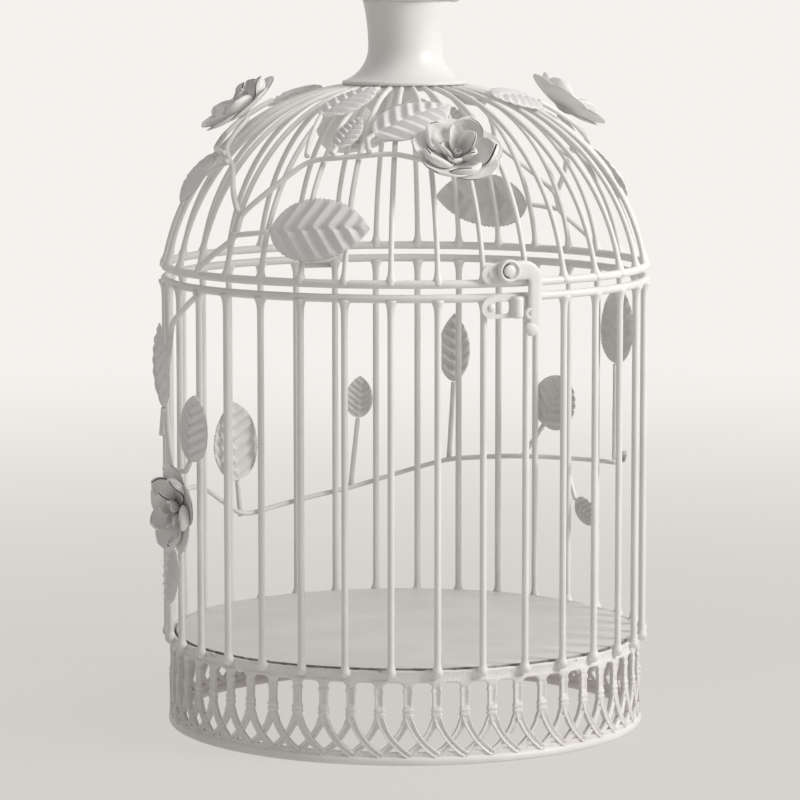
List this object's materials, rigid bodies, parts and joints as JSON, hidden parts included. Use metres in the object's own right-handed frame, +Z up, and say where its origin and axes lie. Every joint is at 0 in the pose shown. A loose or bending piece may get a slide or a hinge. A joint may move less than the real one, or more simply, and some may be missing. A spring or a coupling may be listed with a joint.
{
  "type": "birdcage wedding card box",
  "caption": "White painted wire birdcage used as a wedding card box, with a hinged dome lid, hook latch, pierced base strip and metal rose vines.",
  "frame": {"origin": "centre of the base, on the surface the cage stands on", "axes": "+Z up, -Y towards the latch, +Y towards the hinge, +X to the right as seen from the latch"},
  "size_m": [0.2442, 0.2349, 0.3546],
  "materials": {
    "white_paint": "satin"
  },
  "bodies": {
    "cage_body": {"base_rim": "white_paint", "base_skirt": "white_paint", "cage_bars": "white_paint", "cage_ring": "white_paint", "catch_plate": "white_paint", "catch_post": "white_paint", "catch_rivet": "white_paint", "floor_ring": "white_paint", "floor_tray": "white_paint", "garland_leaf_1": "white_paint", "garland_leaf_10": "white_paint", "garland_leaf_2": "white_paint", "garland_leaf_3": "white_paint", "garland_leaf_4": "white_paint", "garland_leaf_5": "white_paint", "garland_leaf_6": "white_paint", "garland_leaf_7": "white_paint", "garland_leaf_8": "white_paint", "garland_leaf_9": "white_paint", "garland_rose_heart": "white_paint", "garland_rose_inner_petals": "white_paint", "garland_rose_middle_petals": "white_paint", "garland_rose_outer_petals": "white_paint", "garland_stem": "white_paint", "garland_twigs": "white_paint", "hinge_leaf_body": "white_paint", "hinge_pin": "white_paint"},
    "lid": {"cap_cover": "white_paint", "cap_neck": "white_paint", "crown_nut": "white_paint", "crown_plate": "white_paint", "dome_wires": "white_paint", "eye_bolt": "white_paint", "front_big_leaf": "white_paint", "front_crown_leaf": "white_paint", "front_high_leaf": "white_paint", "front_rear_leaf": "white_paint", "front_side_leaf": "white_paint", "front_slim_leaf": "white_paint", "front_vine_stem": "white_paint", "front_vine_twigs": "white_paint", "hinge_leaf_lid": "white_paint", "latch_pivot": "white_paint", "latch_plate": "white_paint", "latch_rivet": "white_paint", "lid_ring": "white_paint", "lid_rose_heart": "white_paint", "lid_rose_inner_petals": "white_paint", "lid_rose_middle_petals": "white_paint", "lid_rose_outer_petals": "white_paint", "rear_big_leaf": "white_paint", "rear_crown_leaf": "white_paint", "rear_high_leaf": "white_paint", "rear_rear_leaf": "white_paint", "rear_side_leaf": "white_paint", "rear_slim_leaf": "white_paint", "rear_vine_stem": "white_paint", "rear_vine_twigs": "white_paint"},
    "latch": {"latch_hook": "white_paint"},
    "ring": {"hanging_ring": "white_paint"}
  },
  "joints": [
    {"name": "lid_hinge", "type": "hinge", "parent": "cage_body", "child": "lid", "pos_m": [0, 0.11465, 0.2081], "axis": [-1, 0, 0], "range_deg": [0, 110]},
    {"name": "latch_swing", "type": "hinge", "parent": "lid", "child": "latch", "pos_m": [-0.0009, -0.11495, 0.2169], "axis": [0, -1, 0], "range_deg": [0, 110]},
    {"name": "ring_swing", "type": "hinge", "parent": "lid", "child": "ring", "pos_m": [0, 0, 0.35003], "axis": [0, -1, 0], "range_deg": [0, 253]}
  ]
}
